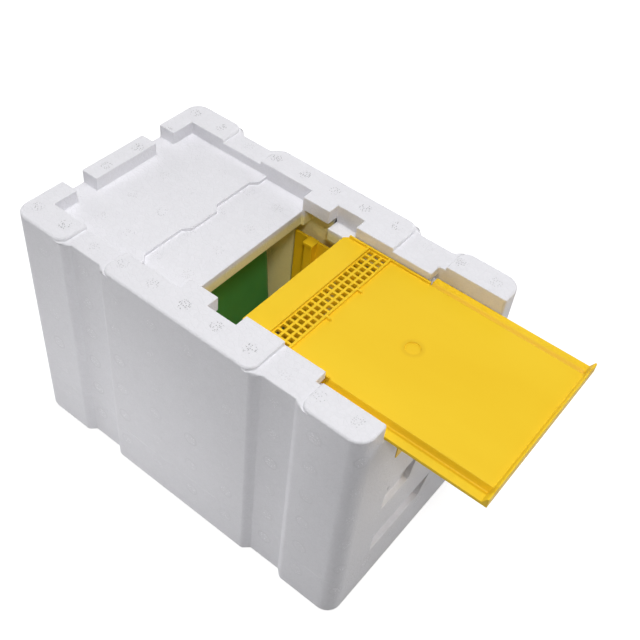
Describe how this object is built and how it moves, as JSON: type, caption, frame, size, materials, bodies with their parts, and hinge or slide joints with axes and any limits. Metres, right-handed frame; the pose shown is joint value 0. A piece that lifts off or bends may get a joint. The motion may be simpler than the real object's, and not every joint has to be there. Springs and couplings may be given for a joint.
{
  "type": "mating nuc box",
  "caption": "Small foam mating nuc box, upside down on its lid, with a floor slide with air grille, comb frames, a feeder tub and an entrance gate.",
  "frame": {"origin": "centre of the lid's outer face, on which the box stands upside down", "axes": "+X along the box towards the entrance end, +Z from the lid towards the floor"},
  "size_m": [0.3085, 0.153, 0.174],
  "materials": {
    "white_foam": "moulded expanded foam, fine bead texture",
    "yellow_plastic": "satin injection moulded",
    "green_plastic": "satin injection moulded"
  },
  "bodies": {
    "lid": {"lid": "white_foam"},
    "body": {"body": "white_foam"},
    "floor_slide": {"floor_slide": "yellow_plastic"},
    "entrance_gate": {"entrance_gate": "yellow_plastic"},
    "feeder": {"feeder": "green_plastic"},
    "frame_1": {"frame_1": "yellow_plastic"},
    "frame_2": {"frame_2": "yellow_plastic"},
    "frame_3": {"frame_3": "yellow_plastic"}
  },
  "joints": [
    {"name": "body_lift", "type": "slide", "parent": "lid", "child": "body", "axis": [0, 0, 1], "range_m": [0, 0.2]},
    {"name": "slide_pull", "type": "slide", "parent": "body", "child": "floor_slide", "axis": [1, 0, 0], "range_m": [-0.0695, 0.1055]},
    {"name": "gate_shut", "type": "slide", "parent": "body", "child": "entrance_gate", "axis": [0, 1, 0], "range_m": [0, 0.0255]},
    {"name": "feeder_lift", "type": "slide", "parent": "body", "child": "feeder", "axis": [0, 0, -1], "range_m": [0, 0.2]},
    {"name": "frame_1_lift", "type": "slide", "parent": "body", "child": "frame_1", "axis": [0, 0, -1], "range_m": [0, 0.2]},
    {"name": "frame_2_lift", "type": "slide", "parent": "body", "child": "frame_2", "axis": [0, 0, -1], "range_m": [0, 0.2]},
    {"name": "frame_3_lift", "type": "slide", "parent": "body", "child": "frame_3", "axis": [0, 0, -1], "range_m": [0, 0.2]}
  ],
  "couplings": [
    {"joint": "feeder_lift", "follows": "body_lift", "ratio": 1},
    {"joint": "frame_1_lift", "follows": "body_lift", "ratio": 1},
    {"joint": "frame_2_lift", "follows": "body_lift", "ratio": 1},
    {"joint": "frame_3_lift", "follows": "body_lift", "ratio": 1}
  ]
}
